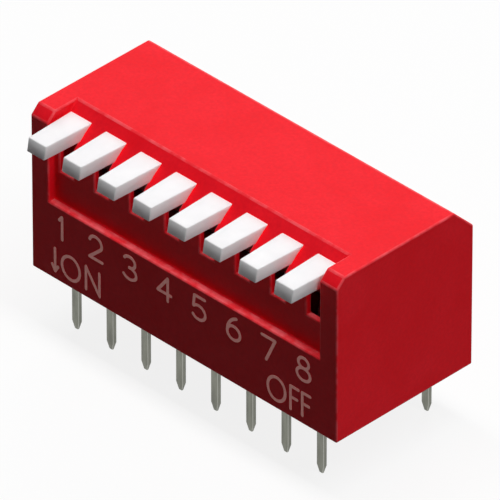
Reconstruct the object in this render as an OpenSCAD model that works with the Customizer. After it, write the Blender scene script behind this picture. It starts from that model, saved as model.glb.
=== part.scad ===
// Piano-type DIP switch: a moulded cover over a base that carries the terminals, with one
// rocking lever per position. Pressing a lever down slides its bridging contact rearwards, and
// the contact then joins the front terminal's pad to the rear terminal's pad.
// Millimetres. The origin is the centre of the pin grid on the seating plane. X runs from
// position 1 to the last position, -Y is the side that the levers stick out of, and Z is up.
// Every lever is drawn in its OFF position, up.

/* [Layout] */
// Number of switch positions
positions = 8; // [2:1:10]
// Distance between neighbouring positions
pitch = 2.54; // [2.5:0.01:3.2]
// Distance between the front and the rear row of pins
row_spacing = 7.62; // [7.3:0.01:9.2]
// Distance from the last pin to the end of the body
end_margin = 2.135; // [1.8:0.005:3]
// Distance from a row of pins to the front or the rear plane of the body
row_margin = 1.115; // [0.95:0.005:2]

/* [Cover] */
// Height of the body above the seating plane
body_height = 10.05; // [9.6:0.05:12.5]
// Wall at the front, the rear and the ends
side_wall = 0.65; // [0.5:0.05:0.7]
// Wall at the top
top_wall = 0.8; // [0.6:0.05:1]
// Chamfer along the rear top edge
rear_chamfer = 1.4; // [0.4:0.1:2]
// Width of the cheek at each end of the lever bay
cheek_width = 1.25; // [0.9:0.05:1.3]
// Chamfer at the front top edge of each cheek
cheek_chamfer = 0.55; // [0.2:0.05:0.8]
// How far the lever bay is set back from the front plane
recess_depth = 0.45; // [0.2:0.05:0.6]
// Wall behind the lever bay
recess_wall = 0.4; // [0.3:0.05:0.5]
// Height of the ledge under the lever bay
ledge_height = 4.67; // [3.5:0.01:5.2]
// Height and depth of the 45 degree slope at the top of the lever bay
slope_run = 1.7; // [1.5:0.05:1.8]
// From the top of the body down to the sill of the lever slots
slot_drop = 3.55; // [3.3:0.05:3.8]

/* [Levers] */
// How far the upper edge of a lever's end stands out of the front plane
lever_reach = 1.6; // [0.8:0.05:2.5]
// Width of a lever at its end
lever_tip_width = 1.26; // [0.9:0.01:1.5]
// Width of a lever where it meets the body
lever_root_width = 1.55; // [1.2:0.01:1.7]
// Thickness of a lever's bar
lever_thickness = 0.8; // [0.6:0.05:1]
// From the top of the body down to the top of the levers
lever_drop = 0.45; // [0.3:0.05:0.6]
// How far the lower edge of a lever's end stands out past its upper edge
lever_rake = 0.15; // [0:0.05:0.3]
// Angle from OFF, up, to ON, down
lever_swing = 28; // [20:1:30]
// Width of the neck that passes through the slot
neck_width = 0.84; // [0.7:0.01:1]
// Depth behind the front plane at which the neck turns down
neck_bend = 2.9; // [2.6:0.05:3.2]

/* [Pivot] */
// Depth of the pivot behind the front plane
pivot_depth = 4.5; // [4.2:0.05:4.8]
// From the top of the body down to the pivot
pivot_drop = 4.45; // [4.2:0.05:4.7]
// Radius of the lever's hub around the pivot
hub_radius = 0.95; // [0.8:0.05:1.1]
// Width of the hub
hub_width = 1.4; // [1.2:0.05:1.5]
// Radius of the trunnions that turn in the bearings
trunnion_radius = 0.4; // [0.3:0.05:0.5]
// Gap between the trunnions of neighbouring levers
trunnion_gap = 0.24; // [0.1:0.01:0.4]
// Radius of the knob at the end of the lever's inner arm
knob_radius = 0.42; // [0.35:0.01:0.5]
// Thickness of the inner arm
arm_thickness = 0.5; // [0.4:0.05:0.55]

/* [Base] */
// How far the underside of the base is set up from the seating plane
base_recess = 0.15; // [0.1:0.05:0.4]
// Height of the floor that the contacts slide over
floor_height = 1.7; // [1.5:0.05:2]
// Height of the guide ribs beside the contacts, above the floor
guide_height = 1.4; // [1.1:0.05:1.7]
// Width of the bearing posts, measured from front to rear
post_width = 2.4; // [1.8:0.05:2.8]
// How far the posts' feet spread at the front and at the rear
post_flare = 0.8; // [0.4:0.05:1]
// How far the catches at the ends of the base stand out
catch_depth = 0.25; // [0.15:0.05:0.3]
// Height of the catches
catch_height = 0.6; // [0.4:0.05:0.7]
// Width of the catches, measured from front to rear
catch_width = 3; // [2:0.1:4]
// Height of the catches' lower face above the seating plane
catch_level = 0.7; // [0.5:0.05:0.9]
// Gap between a pin and the sides of the sealing notch round it
notch_margin = 0.25; // [0.15:0.05:0.35]
// Depth of the sealing notches in the underside
notch_depth = 0.25; // [0.1:0.05:0.3]
// Depth of the moulded pockets in the underside, one under each contact
core_depth = 0.5; // [0.3:0.05:0.7]
// Web between neighbouring pockets
core_web = 0.8; // [0.6:0.05:1.2]
// Distance from a row of pins to the pockets
core_margin = 1.4; // [1.2:0.05:2]

/* [Terminals] */
// Length of the pins below the seating plane
pin_length = 3.45; // [2.5:0.05:4]
// Width of the pins
pin_width = 0.5; // [0.4:0.01:0.6]
// Thickness of the terminal strip
strip_thickness = 0.25; // [0.2:0.01:0.3]
// Inner radius of the bend between a terminal's blade and its pad
bend_radius = 0.2; // [0.15:0.01:0.25]
// Width of the terminals inside the base
pad_width = 1.3; // [1:0.05:1.4]
// Height of the shoulder where a terminal narrows to its pin
shoulder_height = 0.7; // [0.5:0.05:0.9]
// Length of the tapered end of the pins
tip_length = 0.5; // [0.3:0.05:0.8]
// Part of the pin's width and thickness that is left at its end
tip_share = 0.45; // [0.3:0.05:0.7]
// Gap between a contact's foot and the rear pad in the OFF position
contact_gap = 0.6; // [0.4:0.05:0.8]

/* [Contacts] */
// Width of the bridging contacts
contact_width = 1.4; // [1.2:0.05:1.5]
// Thickness of the contact strip
contact_thickness = 0.12; // [0.1:0.01:0.15]
// Length of the contact strip
contact_length = 2.4; // [2.2:0.05:2.6]
// Distance from the middle of a contact to each of its feet
foot_offset = 0.95; // [0.85:0.05:1]
// Radius of the feet
foot_radius = 0.2; // [0.15:0.01:0.2]
// Height of the two ears that take the lever's knob
ear_height = 1.1; // [0.9:0.05:1.2]

/* [Clearances] */
// Beside the neck, on each side of its slot
slot_clearance = 0.08; // [0.05:0.01:0.15]
// Between a lever's bar and the foot of the slope, all along the swing
swing_clearance = 0.05; // [0.04:0.01:0.1]
// Left between a lever and the cover at each of its two stops
stop_clearance = 0.05; // [0.03:0.01:0.1]
// Around the trunnions, on the radius
bearing_clearance = 0.03; // [0.02:0.01:0.06]
// Between a hub or a contact and the ribs beside it
rib_clearance = 0.12; // [0.08:0.01:0.2]
// Between a knob and each ear of its contact, and the strip below it
knob_clearance = 0.04; // [0.02:0.01:0.06]
// Between a contact's feet and the floor
foot_clearance = 0.03; // [0.02:0.01:0.05]
// Between the base and the walls of the cover
base_clearance = 0.05; // [0.03:0.01:0.1]

/* [Hidden] */
$fn = 48;
cut = 1; // overshoot of every cutting tool

// The body's length, and what is taken from it
body_length = (positions - 1) * pitch + 2 * end_margin;
bay_length = body_length - 2 * cheek_width;
cavity_length = body_length - 2 * side_wall;
base_length = cavity_length - 2 * base_clearance;

// The body's planes, in Y and Z
body_depth = row_spacing + 2 * row_margin;
front = -body_depth / 2;
rear = body_depth / 2;
bay_back = front + recess_depth;
bay_inner = bay_back + recess_wall;
slope_foot = body_height - slope_run;
ceiling = body_height - top_wall;
slot_sill = body_height - slot_drop;
slot_width = neck_width + 2 * slot_clearance;
// A wall keeps its thickness under a 45 degree face when that face is moved in by this factor
diagonal = sqrt(2);

// Levers
lever_top = body_height - lever_drop;
lever_bottom = lever_top - lever_thickness;
lever_tip = front - lever_reach;
pivot_y = front + pivot_depth;
pivot_z = body_height - pivot_drop;
half_swing = lever_swing / 2;
// The back of a bar is an arc about the pivot that just clears the slope beside it, at the
// slope's foot and level with the bar's top
foot_distance = norm([bay_back - pivot_y, slope_foot - pivot_z]);
slope_distance = norm([bay_back + lever_top - slope_foot - pivot_y, lever_top - pivot_z]);
bar_radius = max(foot_distance, slope_distance) + swing_clearance;
bar_root = pivot_y - sqrt(pow(bar_radius, 2) - pow(lever_top - pivot_z, 2));
neck_top = ceiling - stop_clearance;
neck_low = slot_sill + stop_clearance;
neck_lead = 1;       // length of the neck ahead of the bay's back wall, at ON
neck_lap = 0.3;      // depth behind the front plane at which the neck leaves the bar
neck_heel = 0.25;    // length of the neck behind the bay's wall that stays level, at ON
neck_rear_angle = 25;
neck_front_angle = 160;
neck_root = hub_radius * 0.8;
trunnion_span = pitch - trunnion_gap;

// Contacts, and the inner arms that push them
foot_bottom = floor_height + foot_clearance;
strip_bottom = foot_bottom + foot_radius;
strip_top = strip_bottom + contact_thickness;
arm_length = pivot_z - strip_top - knob_clearance - knob_radius;
knob_y = pivot_y - arm_length * sin(half_swing);
ear_inside = knob_radius + knob_clearance;

// Base
rib_width = pitch - hub_width - 2 * rib_clearance;
base_front = front + side_wall + base_clearance;
base_rear = rear - side_wall - base_clearance;
guide_top = floor_height + guide_height;
pocket_depth = catch_depth + 2 * base_clearance;
core_width = pitch - core_web;
core_reach = row_spacing / 2 - core_margin;
notch_width = pin_width + 2 * notch_margin;
notch_inside = (row_spacing - strip_thickness) / 2 - notch_margin;

// Terminals
front_pad_end = pivot_y;
rear_pad_end = knob_y + foot_offset + foot_radius + contact_gap;

function position_x(i) = (i - (positions + 1) / 2) * pitch;
function rib_x(i) = position_x(i) + pitch / 2;
function in_hub(angle) = [pivot_y + neck_root * cos(angle), pivot_z + neck_root * sin(angle)];
// Where a point that a lever has at ON, given as [y, z], lies at OFF
function at_off(p) = [
    pivot_y + (p.x - pivot_y) * cos(lever_swing) + (p.y - pivot_z) * sin(lever_swing),
    pivot_z - (p.x - pivot_y) * sin(lever_swing) + (p.y - pivot_z) * cos(lever_swing)
];

// Draws an outline given in Y and Z, and makes it as wide as stated, centred on X = 0
module across(width) {
    rotate([90, 0, 90]) linear_extrude(height = width, center = true) children();
}

// A round bar along X through the pivot
module pivot_bar(radius, width) {
    translate([0, pivot_y, pivot_z]) rotate([0, 90, 0]) cylinder(r = radius, h = width, center = true);
}

// ---- Cover ----

module cheek_outline() {
    polygon([
        [front, 0],
        [front, body_height - cheek_chamfer],
        [front + cheek_chamfer, body_height],
        [rear - rear_chamfer, body_height],
        [rear, body_height - rear_chamfer],
        [rear, 0]
    ]);
}

// What is cut away above the ledge: the lever bay, and the 45 degree slope at its top
module bay_outline() {
    polygon([
        [front - cut, ledge_height],
        [bay_back, ledge_height],
        [bay_back, slope_foot],
        [bay_back + slope_run + cut, body_height + cut],
        [front - cut, body_height + cut]
    ]);
}

module cavity_outline() {
    step_top = ledge_height - recess_wall;
    slope_shift = recess_wall * diagonal;
    chamfer_shift = side_wall * diagonal;
    polygon([
        [front + side_wall, -cut],
        [front + side_wall, step_top - (bay_inner - front - side_wall)],
        [bay_inner, step_top],
        [bay_inner, slope_foot + recess_wall - slope_shift],
        [bay_back + slope_run - top_wall + slope_shift, ceiling],
        [rear - rear_chamfer + top_wall - chamfer_shift, ceiling],
        [rear - side_wall, body_height - rear_chamfer + side_wall - chamfer_shift],
        [rear - side_wall, -cut]
    ]);
}

module lever_slot() {
    slot_rear = bay_inner + slope_run;
    translate([-slot_width / 2, front - cut, slot_sill])
        cube([slot_width, slot_rear - front + cut, ceiling - slot_sill]);
}

// Pockets in both end walls for the catches of the base
module catch_pockets() {
    pocket_length = cavity_length + 2 * (pocket_depth - base_clearance);
    translate([-pocket_length / 2, -catch_width / 2 - base_clearance, catch_level])
        cube([pocket_length, catch_width + 2 * base_clearance, catch_height + base_clearance]);
}

// Ribs under the ceiling: the upper halves of the bearings
module bearing_caps() {
    difference() {
        intersection() {
            for (i = [0 : positions]) {
                translate([rib_x(i) - rib_width / 2, pivot_y - post_width / 2, pivot_z])
                    cube([rib_width, post_width, ceiling - pivot_z + top_wall / 2]);
            }
            translate([-body_length / 2 + side_wall / 2, front, 0])
                cube([body_length - side_wall, body_depth, body_height]);
        }
        pivot_bar(trunnion_radius + bearing_clearance, body_length);
    }
}

module cover() {
    color("#f02837") {
        difference() {
            across(body_length) cheek_outline();
            across(bay_length) bay_outline();
            across(cavity_length) cavity_outline();
            catch_pockets();
            for (i = [1 : positions]) translate([position_x(i), 0, 0]) lever_slot();
        }
        bearing_caps();
    }
}

// ---- Base ----

// One rib: a guide beside the contacts that rises to a bearing post
module rib_outline() {
    polygon([
        [base_front, base_recess],
        [base_front, guide_top],
        [pivot_y - post_width / 2 - post_flare, guide_top],
        [pivot_y - post_width / 2, pivot_z],
        [pivot_y + post_width / 2, pivot_z],
        [pivot_y + post_width / 2 + post_flare, guide_top],
        [base_rear, guide_top],
        [base_rear, base_recess]
    ]);
}

// A wedge at each end that snaps into the cover: level below, sloping above
module catches() {
    reach = base_length / 2 + catch_depth;
    rotate([90, 0, 0]) linear_extrude(height = catch_width, center = true) polygon([
        [-reach, catch_level],
        [reach, catch_level],
        [base_length / 2, catch_level + catch_height],
        [-base_length / 2, catch_level + catch_height]
    ]);
}

// A box that is cut upwards into the underside, from one Y to another
module underside_pocket(width, from_y, to_y, depth) {
    translate([-width / 2, from_y, base_recess - cut]) cube([width, to_y - from_y, cut + depth]);
}

module base() {
    color("#a8161f") difference() {
        union() {
            translate([-base_length / 2, base_front, base_recess])
                cube([base_length, base_rear - base_front, floor_height - base_recess]);
            intersection() {
                for (i = [0 : positions]) translate([rib_x(i), 0, 0]) across(rib_width) rib_outline();
                translate([-base_length / 2, front, 0]) cube([base_length, body_depth, body_height]);
            }
            catches();
        }
        pivot_bar(trunnion_radius + bearing_clearance, body_length);
        for (i = [1 : positions]) {
            terminal_front(i);
            terminal_rear(i);
            translate([position_x(i), 0, 0]) {
                underside_pocket(core_width, -core_reach, core_reach, core_depth);
                underside_pocket(notch_width, base_front - cut, -notch_inside, notch_depth);
                underside_pocket(notch_width, notch_inside, base_rear + cut, notch_depth);
            }
        }
    }
}

// ---- Terminals ----

// A pin with its end tapered in width and in thickness, centred on Z
module pin() {
    intersection() {
        rotate([90, 0, 0]) linear_extrude(height = strip_thickness, center = true)
            pin_outline(pin_width);
        across(pin_width) pin_outline(strip_thickness);
    }
}

module pin_outline(width) {
    taper_top = tip_length - pin_length;
    end_width = width * tip_share;
    polygon([
        [-width / 2, shoulder_height],
        [width / 2, shoulder_height],
        [width / 2, taper_top],
        [end_width / 2, -pin_length],
        [-end_width / 2, -pin_length],
        [-width / 2, taper_top]
    ]);
}

// The strip inside the base, from the shoulder up and round the bend to the pad. The blade stands
// on Y = 0, and the pad runs towards +Y and ends there.
module strip_outline(pad_end) {
    outer_radius = bend_radius + strip_thickness;
    bend_y = outer_radius - strip_thickness / 2;
    bend_z = floor_height - outer_radius;
    translate([-strip_thickness / 2, shoulder_height])
        square([strip_thickness, bend_z - shoulder_height]);
    translate([bend_y, floor_height - strip_thickness])
        square([pad_end - bend_y, strip_thickness]);
    intersection() {
        translate([bend_y, bend_z]) difference() {
            circle(r = outer_radius);
            circle(r = bend_radius);
        }
        translate([-strip_thickness / 2, bend_z]) square(outer_radius);
    }
}

module terminal(pad_end) {
    pin();
    across(pad_width) strip_outline(pad_end);
}

module terminal_front(i) {
    color("#b9b7ae") translate([position_x(i), -row_spacing / 2, 0])
        terminal(front_pad_end + row_spacing / 2);
}

module terminal_rear(i) {
    color("#b9b7ae") translate([position_x(i), row_spacing / 2, 0]) mirror([0, 1, 0])
        terminal(row_spacing / 2 - rear_pad_end);
}

// ---- Contacts ----

module contact_foot() {
    difference() {
        circle(r = foot_radius);
        translate([-cut, 0]) square([2 * cut, cut]);
    }
}

module contact(i) {
    color("#d9b45a") translate([position_x(i), knob_y, 0]) across(contact_width) {
        translate([-contact_length / 2, strip_bottom]) square([contact_length, contact_thickness]);
        for (side = [-1, 1]) {
            translate([side * foot_offset, strip_bottom]) contact_foot();
            translate([side * (ear_inside + contact_thickness / 2) - contact_thickness / 2, strip_bottom])
                square([contact_thickness, contact_thickness + ear_height]);
        }
    }
}

// ---- Levers ----

// The bar outside the cover, from the side: its end is raked
module bar_side() {
    polygon([
        [lever_tip, lever_top],
        [lever_tip - lever_rake, lever_bottom],
        [pivot_y, lever_bottom],
        [pivot_y, lever_top]
    ]);
}

// The bar from above: it narrows towards its end
module bar_plan() {
    polygon([
        [-lever_tip_width / 2, lever_tip - lever_rake],
        [lever_tip_width / 2, lever_tip - lever_rake],
        [lever_root_width / 2, bar_root],
        [-lever_root_width / 2, bar_root]
    ]);
}

module bar() {
    difference() {
        intersection() {
            across(lever_root_width) bar_side();
            translate([0, 0, lever_bottom]) linear_extrude(height = lever_thickness) bar_plan();
        }
        pivot_bar(bar_radius, lever_root_width + cut);
    }
}

// The neck runs in through the slot and down to the hub. At ON its lower edge lies level, just
// above the sill of the slot.
module neck_outline() {
    polygon([
        [front + neck_lap, neck_top],
        [front + neck_bend, neck_top],
        in_hub(neck_rear_angle),
        in_hub(neck_front_angle),
        at_off([bay_inner + neck_heel, neck_low]),
        at_off([bay_back - neck_lead, neck_low])
    ]);
}

// The inner arm hangs from the hub, swung forwards by half the swing, and ends in a round knob
module arm_outline() {
    translate([pivot_y, pivot_z]) rotate(-half_swing) {
        translate([-arm_thickness / 2, -arm_length]) square([arm_thickness, arm_length]);
        translate([0, -arm_length]) circle(r = knob_radius);
    }
}

module lever(i) {
    color("#f4f4f6") translate([position_x(i), 0, 0]) {
        bar();
        across(neck_width) neck_outline();
        across(neck_width) arm_outline();
        pivot_bar(hub_radius, hub_width);
        pivot_bar(trunnion_radius, trunnion_span);
    }
}

cover();
base();
for (i = [1 : positions]) {
    lever(i);
    contact(i);
    terminal_front(i);
    terminal_rear(i);
}
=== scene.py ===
# A piano-type DIP switch: a red moulded cover, eight white rocking levers, a deep red base and two
# rows of tinned pins. Everything is in metres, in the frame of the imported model.
import math

import bmesh
import bpy
from mathutils import Matrix, Vector


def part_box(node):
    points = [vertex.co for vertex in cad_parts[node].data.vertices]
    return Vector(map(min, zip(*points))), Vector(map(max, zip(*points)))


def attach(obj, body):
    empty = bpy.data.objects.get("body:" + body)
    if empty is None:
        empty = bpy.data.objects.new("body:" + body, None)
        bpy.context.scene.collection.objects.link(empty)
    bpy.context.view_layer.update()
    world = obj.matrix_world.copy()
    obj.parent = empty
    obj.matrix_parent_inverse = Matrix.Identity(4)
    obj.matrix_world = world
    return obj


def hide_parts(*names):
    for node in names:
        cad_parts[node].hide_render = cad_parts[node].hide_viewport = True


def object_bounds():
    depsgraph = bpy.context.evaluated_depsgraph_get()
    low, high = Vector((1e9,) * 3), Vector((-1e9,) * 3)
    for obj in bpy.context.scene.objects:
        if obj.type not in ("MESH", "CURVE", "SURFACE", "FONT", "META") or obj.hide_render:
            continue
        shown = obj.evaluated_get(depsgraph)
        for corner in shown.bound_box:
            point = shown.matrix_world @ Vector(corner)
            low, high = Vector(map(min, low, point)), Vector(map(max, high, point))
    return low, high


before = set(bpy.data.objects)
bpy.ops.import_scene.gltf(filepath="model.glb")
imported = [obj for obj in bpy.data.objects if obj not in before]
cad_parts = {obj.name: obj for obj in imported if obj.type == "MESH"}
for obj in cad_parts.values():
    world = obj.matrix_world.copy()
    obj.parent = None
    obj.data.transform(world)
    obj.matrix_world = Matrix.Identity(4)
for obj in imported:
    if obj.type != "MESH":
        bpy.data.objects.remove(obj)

MM = 0.001
cad_low, cad_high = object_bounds()
cover_low, cover_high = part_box("cover")


def nodes_named(start):
    """The CAD nodes whose names start so, in order."""
    return sorted(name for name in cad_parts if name.startswith(start))


lever_nodes = nodes_named("lever_")
contact_nodes = nodes_named("contact_")
front_terminals = nodes_named("terminal_front_")
rear_terminals = nodes_named("terminal_rear_")
first_middle, next_middle = [sum(corner.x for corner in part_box(name)) / 2
                             for name in lever_nodes[:2]]
pitch = next_middle - first_middle

# ---- Tools for finishes and pieces ----


def linear(colour):
    """An sRGB hex colour, such as "c8c6bd", as linear RGBA."""
    shares = [int(colour[i:i + 2], 16) / 255 for i in (0, 2, 4)]
    return [c / 12.92 if c <= 0.04045 else ((c + 0.055) / 1.055) ** 2.4 for c in shares] + [1.0]


def add(tree, kind, settings=None, links=None):
    """Adds a node. A setting is a property of the node or, by name or number, a socket's value."""
    node = tree.nodes.new(kind)
    for name, value in (settings or {}).items():
        if isinstance(name, str) and hasattr(node, name):
            setattr(node, name, value)
        else:
            node.inputs[name].default_value = value
    for socket, source in (links or {}).items():
        if isinstance(source, bpy.types.Node):
            source = source.outputs[0]
        tree.links.new(source, node.inputs[socket])
    return node


def new_finish(name, stretch=(1, 1, 1)):
    """A material whose patterns are measured in millimetres: returns it, its tree and the position.
    A stretch below 1 draws the patterns longer in that direction."""
    finish = bpy.data.materials.new(name)
    finish.use_nodes = True
    tree = finish.node_tree
    tree.nodes.clear()
    place = add(tree, "ShaderNodeTexCoord")
    scale = [share / MM for share in stretch]
    place = add(tree, "ShaderNodeMapping", {"Scale": scale}, {"Vector": place.outputs["Object"]})
    return finish, tree, place


def edge_wear_and_highlight(tree, place, body, colour, scale, spread, share):
    """A body colour that turns to another in patches of the marked faces: rubbed wear, and on the
    red cover also a painted highlight. The patches come from noise: its values over the spread
    become the share of the other colour."""
    edge = add(tree, "ShaderNodeAttribute", {"attribute_name": "rounded"})
    patches = add(tree, "ShaderNodeTexNoise", {"Scale": scale, "Detail": 4.0}, {"Vector": place})
    patches = add(tree, "ShaderNodeMapRange",
                  {"From Min": spread[0], "From Max": spread[1],
                   "To Min": share[0], "To Max": share[1]}, {"Value": patches})
    pale_share = add(tree, "ShaderNodeMath", {"operation": "MULTIPLY"},
               {0: edge.outputs["Fac"], 1: patches})
    return add(tree, "ShaderNodeMix", {"data_type": "RGBA", 7: linear(colour)},
               {0: pale_share, 6: body.outputs[2]})


def close_finish(tree, shader):
    """Shows a shader on the surface."""
    add(tree, "ShaderNodeOutputMaterial", links={"Surface": shader})


def close_finish_with_grain(tree, body, grain, roughness, relief, settings):
    """Shows a body colour under a fine grain. The grain takes the roughness from its low to its
    high value, and it has a relief of some strength and of a depth in millimetres."""
    sheen = add(tree, "ShaderNodeMapRange",
                {"From Min": 0.3, "From Max": 0.7, "To Min": roughness[0], "To Max": roughness[1]},
                {"Value": grain})
    bumps = add(tree, "ShaderNodeBump", {"Strength": relief[0], "Distance": relief[1] * MM},
                {"Height": grain})
    shader = add(tree, "ShaderNodeBsdfPrincipled", settings,
                 {"Base Color": body.outputs[2], "Roughness": sheen, "Normal": bumps})
    close_finish(tree, shader)


# ---- Finishes ----


def moulded_red_pbt():
    """PBT, injection moulded in a spark-eroded mould: an even, saturated red with a satin sheen,
    a fine grain and faint flow marks. Its edges are paler pink, partly polished wear and partly a
    painted highlight, and its ledges carry a painted highlight."""
    finish, tree, place = new_finish("PBT moulded satin red")
    # The flow marks are some 5 mm long, about half of the cover's height
    flow = add(tree, "ShaderNodeTexNoise",
               {"Scale": 0.22, "Detail": 3.0, "Distortion": 1.4}, {"Vector": place})
    # Pigment clusters are a few hundredths of a millimetre; 0.2 mm is the finest that shows
    pigment = add(tree, "ShaderNodeTexNoise", {"Scale": 5.0, "Detail": 2.0}, {"Vector": place})
    flow_share = add(tree, "ShaderNodeMapRange",
                     {"From Min": 0.35, "From Max": 0.65}, {"Value": flow})
    pigment_share = add(tree, "ShaderNodeMapRange",
                        {"From Min": 0.3, "From Max": 0.7, "To Max": 0.4}, {"Value": pigment})
    body = add(tree, "ShaderNodeMix",
               {"data_type": "RGBA", 6: linear("f71322"), 7: linear("fd1c2b")}, {0: flow_share})
    body = add(tree, "ShaderNodeMix",
               {"data_type": "RGBA", 7: linear("e61224")}, {0: pigment_share, 6: body.outputs[2]})
    # Paler pink on the rounded edges is part rubbed wear and part painted highlight; on the ledges
    # it is a painted highlight
    body = edge_wear_and_highlight(tree, place, body, "ff8088", scale=1.6, spread=(0.38, 0.62),
                      share=(0.08, 0.36))
    # The eroded grain is about 0.03 mm; it is drawn at 0.12 mm so that it shows
    grain = add(tree, "ShaderNodeTexNoise", {"Scale": 8.0, "Detail": 3.0}, {"Vector": place})
    close_finish_with_grain(tree, body, grain, roughness=(0.42, 0.55), relief=(0.9, 0.007),
                            settings={"IOR": 1.5, "Specular IOR Level": 0.08})
    return finish


def moulded_white_nylon():
    """Nylon 66, injection moulded in a polished mould: clean white with a soft gloss and hardly any
    grain. A little light passes through it, which softens its shades, and its rounded edges have a
    trace of grey handling marks."""
    finish, tree, place = new_finish("Nylon moulded white")
    cloud = add(tree, "ShaderNodeTexNoise", {"Scale": 0.9, "Detail": 3.0}, {"Vector": place})
    cloud_share = add(tree, "ShaderNodeMapRange",
                      {"From Min": 0.35, "From Max": 0.65}, {"Value": cloud})
    body = add(tree, "ShaderNodeMix",
               {"data_type": "RGBA", 6: linear("f4f3f5"), 7: linear("f9f8fa")}, {0: cloud_share})
    body = edge_wear_and_highlight(tree, place, body, "cfccc8", scale=2.5, spread=(0.4, 0.7), share=(0.0, 0.3))
    # The polished mould's marks are finer than can show; 0.1 mm is drawn
    grain = add(tree, "ShaderNodeTexNoise", {"Scale": 10.0, "Detail": 2.0}, {"Vector": place})
    close_finish_with_grain(tree, body, grain, roughness=(0.34, 0.44), relief=(0.3, 0.002),
                            settings={"IOR": 1.53, "Specular IOR Level": 0.4,
                                      "Subsurface Weight": 0.3, "Subsurface Scale": 0.7 * MM,
                                      "Subsurface Radius": (1, 1, 1)})
    return finish


def glass_filled_red_pbt():
    """PBT with glass fibre, moulded: a duller, deeper red than the cover, with short pale fibres
    just showing at the surface, a slightly rough skin and edges that have gone a little pale."""
    finish, tree, place = new_finish("PBT glass filled red", stretch=(1, 0.3, 1))
    # The fibres are about 0.01 mm thick; they are drawn 0.14 mm thick and 0.5 mm long
    fibre = add(tree, "ShaderNodeTexNoise",
                {"Scale": 7.0, "Detail": 2.0, "Distortion": 0.6}, {"Vector": place})
    fibre_share = add(tree, "ShaderNodeMapRange",
                      {"From Min": 0.58, "From Max": 0.72, "To Max": 0.5}, {"Value": fibre})
    body = add(tree, "ShaderNodeMix",
               {"data_type": "RGBA", 6: linear("b4101c"), 7: linear("c23a40")}, {0: fibre_share})
    edge = add(tree, "ShaderNodeAttribute", {"attribute_name": "rounded"})
    edge_share = add(tree, "ShaderNodeMath", {"operation": "MULTIPLY", 1: 0.35},
                     {0: edge.outputs["Fac"]})
    body = add(tree, "ShaderNodeMix",
               {"data_type": "RGBA", 7: linear("c4484c")}, {0: edge_share, 6: body.outputs[2]})
    close_finish_with_grain(tree, body, fibre, roughness=(0.5, 0.68), relief=(0.6, 0.005),
                            settings={"IOR": 1.57, "Specular IOR Level": 0.2})
    return finish


def matte_tin_plate():
    """Brass strip, stamped and matte tin plated: a soft warm grey with rolling lines along the
    pin and cloudy crystals, brighter where the stamped edges are burnished."""
    finish, tree, place = new_finish("Tin plate matte", stretch=(1, 1, 0.18))
    # Rolling lines are about 0.01 mm apart and tin crystals 0.01 mm across; they are drawn at 0.07
    # mm and 0.3 mm
    rolled = add(tree, "ShaderNodeTexNoise", {"Scale": 14.0, "Detail": 3.0}, {"Vector": place})
    crystal = add(tree, "ShaderNodeTexVoronoi", {"Scale": 3.2}, {"Vector": place})
    crystal_share = add(tree, "ShaderNodeMapRange",
                        {"From Min": 0.1, "From Max": 0.7}, {"Value": crystal})
    body = add(tree, "ShaderNodeMix",
               {"data_type": "RGBA", 6: linear("74756c"), 7: linear("86877d")}, {0: crystal_share})
    edge = add(tree, "ShaderNodeAttribute", {"attribute_name": "rounded"})
    body = add(tree, "ShaderNodeMix",
               {"data_type": "RGBA", 7: linear("a9aaa2")},
               {0: edge.outputs["Fac"], 6: body.outputs[2]})
    close_finish_with_grain(tree, body, rolled, roughness=(0.34, 0.5), relief=(0.5, 0.003),
                            settings={"Metallic": 1.0})
    return finish


def gold_flashed_bronze():
    """Phosphor bronze spring strip with a thin flash of gold: warm yellow metal with fine rolling
    lines and slightly redder patches where the gold is thin."""
    finish, tree, place = new_finish("Phosphor bronze gold flashed", stretch=(1, 0.2, 1))
    # Rolling lines are about 0.01 mm apart; they are drawn at 0.06 mm
    rolled = add(tree, "ShaderNodeTexNoise", {"Scale": 16.0, "Detail": 3.0}, {"Vector": place})
    thin = add(tree, "ShaderNodeTexNoise", {"Scale": 1.2, "Detail": 2.0}, {"Vector": place})
    thin_share = add(tree, "ShaderNodeMapRange",
                     {"From Min": 0.4, "From Max": 0.7}, {"Value": thin})
    body = add(tree, "ShaderNodeMix",
               {"data_type": "RGBA", 6: linear("e0b963"), 7: linear("c99a55")}, {0: thin_share})
    close_finish_with_grain(tree, body, rolled, roughness=(0.24, 0.36), relief=(0.4, 0.002),
                            settings={"Metallic": 1.0})
    return finish


def pad_printed_ink():
    """Epoxy ink full of titanium white, whose high index makes it shine, pad printed in one thin
    coat: satin, and pinkish, gloss and all, because the red under it shows through, most of all
    in its thin spots."""
    finish, tree, place = new_finish("Epoxy ink pad printed")
    # The pad leaves thin spots about as wide as a stroke, 0.17 mm
    coat = add(tree, "ShaderNodeTexNoise",
               {"Scale": 6.0, "Detail": 3.0, "Distortion": 0.4}, {"Vector": place})
    thin = add(tree, "ShaderNodeMapRange",
               {"From Min": 0.42, "From Max": 0.68, "To Max": 0.7}, {"Value": coat})
    body = add(tree, "ShaderNodeMix",
               {"data_type": "RGBA", 6: linear("ffb0a8"), 7: linear("f5928c")}, {0: thin})
    relief = add(tree, "ShaderNodeBump", {"Strength": 0.5, "Distance": 0.003 * MM},
                 {"Height": coat})
    shader = add(tree, "ShaderNodeBsdfPrincipled",
                 {"Roughness": 0.35, "IOR": 2.3, "Specular Tint": linear("ff9c94")},
                 {"Base Color": body.outputs[2], "Normal": relief})
    close_finish(tree, shader)
    return finish


red_pbt = moulded_red_pbt()
white_nylon = moulded_white_nylon()
base_pbt = glass_filled_red_pbt()
tin_plate = matte_tin_plate()
bronze = gold_flashed_bronze()
pale_ink = pad_printed_ink()

# ---- Moulded and stamped pieces with rounded edges ----

WELD = 0.0004 * MM
FLAT = math.radians(1)
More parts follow.
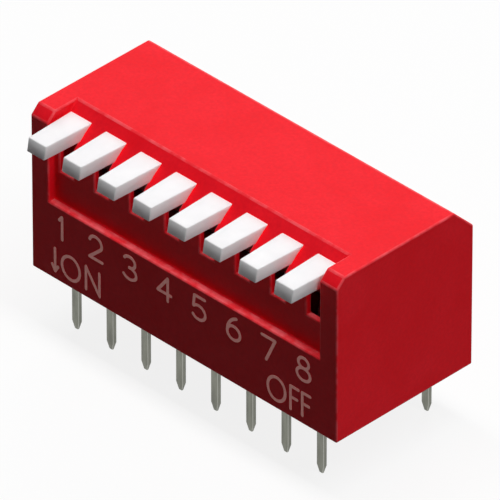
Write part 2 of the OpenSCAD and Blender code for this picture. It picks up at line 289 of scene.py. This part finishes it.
# Edges with a wider angle than CORNER are rounded, if they are at least ROOM radii long and so are
# their neighbours. What is wider than CREASE after that shows as a sharp edge.
CORNER = math.radians(25)
ROOM = 2.2
CREASE = math.radians(50)
# A ledge faces up and lies well below the top
FACES_UP = 0.9
LEDGE_DROP = 1.0 * MM


def rounded_copy(name, node, radius, finish, steps=2, ledge_highlight=0.0):
    """A copy of a CAD node's mesh with its sharp edges rounded, apart from crowded ones. Faces that
    a finish can make paler are marked: the rounded outer edges with 1, and the ledges with their
    own amount, which paints a highlight on them."""
    shape = bmesh.new()
    shape.from_mesh(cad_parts[node].data)
    mark = shape.faces.layers.float.new("rounded")
    bmesh.ops.remove_doubles(shape, verts=shape.verts, dist=WELD)
    bmesh.ops.dissolve_limit(shape, angle_limit=FLAT, verts=shape.verts, edges=shape.edges)
    crowded = {v for e in shape.edges if e.calc_length() < ROOM * radius for v in e.verts}
    corners = [e for e in shape.edges if e.calc_face_angle(0) > CORNER]
    # An edge that is not smooth is shaded as a sharp one
    for edge in corners:
        edge.smooth = crowded.isdisjoint(edge.verts)
    made = bmesh.ops.bevel(shape, geom=[e for e in corners if e.smooth], offset=radius,
                           offset_type="OFFSET", segments=steps, profile=0.5,
                           affect="EDGES", clamp_overlap=True)
    for edge in shape.edges:
        edge.smooth = edge.smooth and edge.calc_face_angle(0) < CREASE
    for face in made["faces"]:
        if sum(e.calc_length() * e.calc_face_angle_signed(0) for e in face.edges) > 0:
            face[mark] = 1.0
    highest = max(v.co.z for v in shape.verts)
    # The ledges get their own amount of painted highlight
    for face in shape.faces:
        if face.normal.z > FACES_UP and face.calc_center_median().z < highest - LEDGE_DROP:
            face[mark] = max(face[mark], ledge_highlight)
    bmesh.ops.triangulate(shape, faces=[f for f in shape.faces if len(f.verts) > 4],
                          ngon_method="EAR_CLIP")
    for face in shape.faces:
        face.smooth = True
    mesh = bpy.data.meshes.new(name)
    shape.to_mesh(mesh)
    shape.free()
    mesh.materials.append(finish)
    piece = bpy.data.objects.new(name, mesh)
    bpy.context.scene.collection.objects.link(piece)
    # In square metres the faces' areas are all tiny, and any threshold would take them as equal
    flat_faces = piece.modifiers.new("flat faces stay flat", "WEIGHTED_NORMAL")
    flat_faces.weight = 100
    flat_faces.thresh = 0.0
    flat_faces.keep_sharp = True
    return piece


def plain_mesh(piece):
    """Turns a piece with modifiers into the mesh that they give."""
    evaluated = piece.evaluated_get(bpy.context.evaluated_depsgraph_get())
    mesh = bpy.data.meshes.new_from_object(evaluated)
    piece.modifiers.clear()
    piece.data = mesh
    mesh.name = piece.name
    return piece


def seat(piece, body, slot, *nodes):
    """Puts a piece on its body and in the place of its CAD nodes. The slot is not used."""
    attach(piece, body)
    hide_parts(*nodes)


# The cover's ledges get a strong painted highlight
shell = plain_mesh(rounded_copy("cover_shell", "cover", 0.1 * MM, red_pbt, steps=3,
                                ledge_highlight=1.7))
seat(shell, "housing", "cover_red", "cover")

block = plain_mesh(rounded_copy("base_block", "base", 0.03 * MM, base_pbt, steps=1))
seat(block, "housing", "base_red", "base")

for node in lever_nodes:
    lever = plain_mesh(rounded_copy(node + "_moulding", node, 0.08 * MM, white_nylon))
    seat(lever, node, "lever_white", node)
    # A bare studio look: the ledge and the slots' sills under the levers stay bright
    lever.visible_shadow = False

# ---- Rows of terminals ----


def new_shape_tree(name, inputs):
    """A Geometry Nodes tree with the named inputs: returns it and the node that gives them."""
    tree = bpy.data.node_groups.new(name, "GeometryNodeTree")
    face = tree.interface
    for title, kind in {"Geometry": "Geometry", **inputs}.items():
        face.new_socket(title, in_out="INPUT", socket_type="NodeSocket" + kind)
    face.new_socket("Geometry", in_out="OUTPUT", socket_type="NodeSocketGeometry")
    return tree, add(tree, "NodeGroupInput")


def row_tree():
    """Geometry Nodes: one part, repeated along X."""
    tree, given = new_shape_tree("row of parts", {
        "Part": "Object", "Count": "Int", "Pitch": "Float", "Finish": "Material"})
    step = add(tree, "ShaderNodeCombineXYZ", links={"X": given.outputs["Pitch"]})
    places = add(tree, "GeometryNodeMeshLine", {"mode": "OFFSET"},
                 {"Count": given.outputs["Count"], "Offset": step})
    part = add(tree, "GeometryNodeObjectInfo", links={"Object": given.outputs["Part"]})
    row = add(tree, "GeometryNodeInstanceOnPoints",
              links={"Points": places, "Instance": part.outputs["Geometry"]})
    row = add(tree, "GeometryNodeRealizeInstances", links={"Geometry": row})
    row = add(tree, "GeometryNodeSetMaterial",
              links={"Geometry": row, "Material": given.outputs["Finish"]})
    add(tree, "NodeGroupOutput", links={"Geometry": row})
    return tree


def run_tree(piece, tree, values):
    """Puts a Geometry Nodes tree on a piece, sets its inputs and keeps the mesh that it makes."""
    modifier = piece.modifiers.new(tree.name, "NODES")
    modifier.node_group = tree
    for item in tree.interface.items_tree:
        if item.in_out == "INPUT" and item.name in values:
            modifier[item.identifier] = values[item.name]
    plain_mesh(piece)


terminal_row = row_tree()
for name, nodes in (("pins_front", front_terminals), ("pins_rear", rear_terminals)):
    first = plain_mesh(rounded_copy(name + "_first", nodes[0], 0.03 * MM, tin_plate))
    pins = bpy.data.objects.new(name, bpy.data.meshes.new(name))
    bpy.context.scene.collection.objects.link(pins)
    run_tree(pins, terminal_row,
             {"Part": first, "Count": len(nodes), "Pitch": pitch, "Finish": tin_plate})
    bpy.data.objects.remove(first)
    seat(pins, "housing", "terminal_tin", *nodes)

for node in contact_nodes:
    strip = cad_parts[node]
    strip.data.materials.clear()
    strip.data.materials.append(bronze)

# ---- Printed markings ----


def arc(middle_x, middle_y, radius_x, radius_y, start, end, steps=14):
    """Points along part of an ellipse, from one angle to another, in degrees."""
    angles = [math.radians(start + (end - start) * i / steps) for i in range(steps + 1)]
    return [(middle_x + radius_x * math.cos(a), middle_y + radius_y * math.sin(a)) for a in angles]


# Every sign is a list of strokes in a cell one unit high. The cell's width comes first.
SIGNS = {
    "1": (0.3, [[(0.0, 0.82), (0.2, 1.0)], [(0.2, 1.0), (0.2, 0.0)]]),
    "2": (0.62, [arc(0.31, 0.7, 0.29, 0.3, 165, -32), [(0.556, 0.541), (0.02, 0.0)],
                 [(0.02, 0.0), (0.62, 0.0)]]),
    "3": (0.6, [arc(0.28, 0.755, 0.26, 0.245, 150, -90), arc(0.28, 0.26, 0.31, 0.26, 90, -150)]),
    "4": (0.66, [[(0.5, 0.0), (0.5, 1.0)], [(0.5, 1.0), (0.0, 0.3)], [(0.0, 0.3), (0.66, 0.3)]]),
    "5": (0.6, [[(0.56, 1.0), (0.1, 1.0)], [(0.1, 1.0), (0.05, 0.53)],
                arc(0.28, 0.31, 0.31, 0.31, 138, -145)]),
    "6": (0.62, [arc(0.31, 0.3, 0.3, 0.3, 0, 360, 28),
                 arc(0.62, 0.3, 0.61, 0.72, 180, 108)]),
    "7": (0.6, [[(0.0, 1.0), (0.6, 1.0)], [(0.6, 1.0), (0.2, 0.0)]]),
    "8": (0.62, [arc(0.31, 0.77, 0.24, 0.23, 0, 360, 24), arc(0.31, 0.27, 0.31, 0.27, 0, 360, 28)]),
    "O": (0.86, [arc(0.43, 0.5, 0.43, 0.5, 0, 360, 36)]),
    "N": (0.68, [[(0.0, 0.0), (0.0, 1.0)], [(0.0, 1.0), (0.68, 0.0)], [(0.68, 0.0), (0.68, 1.0)]]),
    "F": (0.5, [[(0.0, 0.0), (0.0, 1.0)], [(0.0, 1.0), (0.5, 1.0)], [(0.0, 0.53), (0.42, 0.53)]]),
    "down": (0.3, [[(0.15, 1.0), (0.15, 0.0)], [(0.0, 0.24), (0.15, 0.0)],
                   [(0.15, 0.0), (0.3, 0.24)]]),
}

# The layout, in millimetres from the lower left corner of the front
FIRST_NUMBER = 2.2
NUMBER_PITCH = 2.5
NUMBER_WIDTH = 0.95
ONE_WIDTH = 0.3
NUMBERS_BOTTOM, NUMBERS_HEIGHT = 2.76, 1.4
WORDS_BOTTOM, WORDS_HEIGHT = 0.55, 1.42
# The signs of the words, each with its left side and its width
WORDS = (("down", 1.5, 0.42), ("O", 2.22, 1.3), ("N", 3.98, 0.98),
         ("O", 17.15, 1.25), ("F", 18.78, 0.55), ("F", 19.62, 0.55))


def sign_strokes(sign, left, bottom, width, height):
    """A sign's strokes, moved to their place on the front and scaled, in metres."""
    cell_width, strokes = SIGNS[sign]
    across = width / cell_width
    return [[(left + x * across, bottom + y * height) for x, y in stroke] for stroke in strokes]


def stroke_tree():
    """Geometry Nodes: flat inked strokes with round ends along the lines of a mesh. Every stroke
    lies a hair above the one before, so that strokes that cross never share a face."""
    tree, given = new_shape_tree("inked strokes", {
        "Stroke Width": "Float", "Ink Depth": "Float", "Hair": "Float", "Front Plane": "Float",
        "Finish": "Material"})
    lines = add(tree, "GeometryNodeMeshToCurve", links={"Mesh": given.outputs["Geometry"]})
    lines = add(tree, "GeometryNodeSetCurveNormal", {"mode": "Z_UP"}, {"Curve": lines})
    # After six strokes the layers start again, which keeps the ink thin
    of_point = add(tree, "GeometryNodeCurveOfPoint")
    layer = add(tree, "ShaderNodeMath", {"operation": "MODULO", 1: 6.0},
                {0: of_point.outputs["Curve Index"]})
    lift = add(tree, "ShaderNodeMath", {"operation": "MULTIPLY"},
               {0: layer, 1: given.outputs["Hair"]})
    lift = add(tree, "ShaderNodeCombineXYZ", links={"Z": lift})
    lines = add(tree, "GeometryNodeSetPosition", links={"Geometry": lines, "Offset": lift})
    section = add(tree, "GeometryNodeCurvePrimitiveQuadrilateral", {"mode": "RECTANGLE"},
                  {"Width": given.outputs["Stroke Width"], "Height": given.outputs["Ink Depth"]})
    strokes = add(tree, "GeometryNodeCurveToMesh", {"Fill Caps": True},
                  {"Curve": lines, "Profile Curve": section})
    # A closed loop has no ends
    ends = add(tree, "FunctionNodeBooleanMath", {"operation": "NIMPLY"},
               {0: add(tree, "GeometryNodeCurveEndpointSelection"),
                1: add(tree, "GeometryNodeInputSplineCyclic")})
    radius = add(tree, "ShaderNodeMath", {"operation": "MULTIPLY", 1: 0.5},
                 {0: given.outputs["Stroke Width"]})
    # A dot is a third of a hair thinner than its stroke
    dot_depth = add(tree, "ShaderNodeMath", {"operation": "MULTIPLY_ADD", 1: -0.33},
                    {0: given.outputs["Hair"], 2: given.outputs["Ink Depth"]})
    dot = add(tree, "GeometryNodeMeshCylinder", {"Vertices": 20},
              {"Radius": radius, "Depth": dot_depth})
    dots = add(tree, "GeometryNodeInstanceOnPoints",
               links={"Points": lines, "Selection": ends, "Instance": dot.outputs["Mesh"]})
    both = add(tree, "GeometryNodeJoinGeometry", links={"Geometry": strokes})
    tree.links.new(dots.outputs[0], both.inputs["Geometry"])
    stand = add(tree, "ShaderNodeCombineXYZ", links={"Y": given.outputs["Front Plane"]})
    both = add(tree, "GeometryNodeTransform", {"Rotation": (math.pi / 2, 0, 0)},
               {"Geometry": both, "Translation": stand})
    both = add(tree, "GeometryNodeRealizeInstances", links={"Geometry": both})
    both = add(tree, "GeometryNodeSetShadeSmooth", {"Shade Smooth": False}, {"Geometry": both})
    both = add(tree, "GeometryNodeSetMaterial",
               links={"Geometry": both, "Material": given.outputs["Finish"]})
    add(tree, "NodeGroupOutput", links={"Geometry": both})
    return tree


def lines_mesh(name, strokes):
    """The middle lines of the strokes. A stroke that ends where it starts becomes a closed loop."""
    points, edges = [], []
    for stroke in strokes:
        first, loop = len(points), math.dist(stroke[0], stroke[-1]) < 0.001 * MM
        points += [(x, y, 0.0) for x, y in (stroke[:-1] if loop else stroke)]
        edges += [(i, i + 1) for i in range(first, len(points) - 1)]
        if loop:
            edges.append((len(points) - 1, first))
    mesh = bpy.data.meshes.new(name)
    mesh.from_pydata(points, edges, [])
    piece = bpy.data.objects.new(name, mesh)
    bpy.context.scene.collection.objects.link(piece)
    return piece


left_end = cover_low.x
strokes = []
for i in range(len(lever_nodes)):
    sign = str(i + 1)
    middle = left_end + (FIRST_NUMBER + NUMBER_PITCH * i) * MM
    width = (ONE_WIDTH if sign == "1" else NUMBER_WIDTH) * MM
    strokes += sign_strokes(sign, middle - width / 2, NUMBERS_BOTTOM * MM, width,
                            NUMBERS_HEIGHT * MM)
for sign, left, width in WORDS:
    strokes += sign_strokes(sign, left_end + left * MM, WORDS_BOTTOM * MM, width * MM,
                            WORDS_HEIGHT * MM)
markings = lines_mesh("markings", strokes)
run_tree(markings, stroke_tree(),
         {"Stroke Width": 0.18 * MM, "Ink Depth": 0.02 * MM, "Hair": 0.0006 * MM,
          "Front Plane": cover_low.y, "Finish": pale_ink})
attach(markings, "housing")

# ---- Floor, light and camera ----

scene = bpy.context.scene
scene.view_settings.view_transform = "Standard"
WHITE = (1, 1, 1, 1)


def background_rays(tree):
    """1 for what the camera, a gloss or a clear material sees, and 0 for light on the object."""
    path = add(tree, "ShaderNodeLightPath")
    seen = add(tree, "ShaderNodeMath", {"operation": "MAXIMUM"},
               {0: path.outputs["Is Camera Ray"], 1: path.outputs["Is Glossy Ray"]})
    return add(tree, "ShaderNodeMath", {"operation": "MAXIMUM"},
               {0: seen, 1: path.outputs["Is Transmission Ray"]})


FLOOR_REACH = 1.5
DARK_PAPER = (0.06, 0.06, 0.06, 1)
PALE_PAPER = (0.95, 0.95, 0.95, 1)
# The paper glows by this share where it is seen, and takes the shadow with the rest
GLOW_SHARE = 0.85


def white_paper():
    """A paper floor: seen from above it is white and takes a soft shadow, it throws hardly any
    light up at the object, and from below it is clear."""
    paper = bpy.data.materials.new("Paper floor white")
    paper.use_nodes = True
    tree = paper.node_tree
    tree.nodes.clear()
    seen = background_rays(tree)
    tone = add(tree, "ShaderNodeMix", {"data_type": "RGBA", 6: DARK_PAPER, 7: PALE_PAPER},
               {0: seen})
    matt = add(tree, "ShaderNodeBsdfDiffuse", links={"Color": tone.outputs[2]})
    glow = add(tree, "ShaderNodeEmission", {"Color": WHITE, "Strength": 1.0})
    share = add(tree, "ShaderNodeMath", {"operation": "MULTIPLY", 1: GLOW_SHARE}, {0: seen})
    sheet = add(tree, "ShaderNodeMixShader", links={0: share, 1: matt, 2: glow})
    side = add(tree, "ShaderNodeNewGeometry")
    clear = add(tree, "ShaderNodeBsdfTransparent")
    sheet = add(tree, "ShaderNodeMixShader",
                links={0: side.outputs["Backfacing"], 1: sheet, 2: clear})
    close_finish(tree, sheet)
    return paper


floor_mesh = bpy.data.meshes.new("floor")
floor_mesh.from_pydata([(x * FLOOR_REACH, y * FLOOR_REACH, cad_low.z)
                        for x, y in ((-1, -1), (1, -1), (1, 1), (-1, 1))],
                       [], [(0, 1, 2, 3)])
floor_mesh.materials.append(white_paper())
floor = bpy.data.objects.new("floor", floor_mesh)
scene.collection.objects.link(floor)

# The studio's walls are white where they are seen, and throw only a little light on the object
WALL_LIGHT = 0.02

world = bpy.data.worlds.new("studio")
scene.world = world
world.use_nodes = True
world.node_tree.nodes.clear()
seen = background_rays(world.node_tree)
level = add(world.node_tree, "ShaderNodeMapRange", {"To Min": WALL_LIGHT, "To Max": 1.0},
            {"Value": seen})
sky = add(world.node_tree, "ShaderNodeBackground", {"Color": WHITE}, {"Strength": level})
add(world.node_tree, "ShaderNodeOutputWorld", links={"Surface": sky})

middle = (cover_low + cover_high) / 2


def soft_lamp(name, direction, distance, length, width, power):
    """A rectangular lamp that faces the middle of the switch, its length as near X as it can be.
    Its measures are in metres and its power is in watts."""
    lamp = bpy.data.lights.new(name, "AREA")
    lamp.shape = "RECTANGLE"
    lamp.size = length
    lamp.size_y = width
    lamp.energy = power
    placed = bpy.data.objects.new(name, lamp)
    away = Vector(direction).normalized()
    placed.location = middle + away * distance
    along = Vector((0, 1, 0)).cross(away).normalized()
    axes = Matrix((along, away.cross(along), away)).transposed()
    placed.rotation_euler = axes.to_euler()
    scene.collection.objects.link(placed)


soft_lamp("overhead lamp", (0.1, 0.04, 1.0), distance=0.5, length=0.8, width=0.1, power=2.8)
soft_lamp("right lamp", (1.0, 0.1, 0.4), distance=0.6, length=0.35, width=0.35, power=0.56)
soft_lamp("back lamp", (-0.7, 1.0, 0.45), distance=0.6, length=0.35, width=0.35, power=0.9)

# The camera looks along the diagonal of a cube, through a long lens. The width is what it sees at
# the switch, and the aim is the middle of its view.
VIEW_WIDTH = 25.55 * MM
AIM = Vector((-0.09, 0.01, 4.0)) * MM

camera = bpy.data.objects.new("camera", bpy.data.cameras.new("camera"))
scene.collection.objects.link(camera)
scene.camera = camera
camera.data.sensor_width = 36
camera.data.lens = 1000
back = Vector((1, -1, 1)).normalized()
camera.location = AIM + back * (VIEW_WIDTH * camera.data.lens / camera.data.sensor_width)
camera.rotation_euler = back.to_track_quat("Z", "Y").to_euler()
camera.data.clip_start = 0.05
camera.data.clip_end = 10
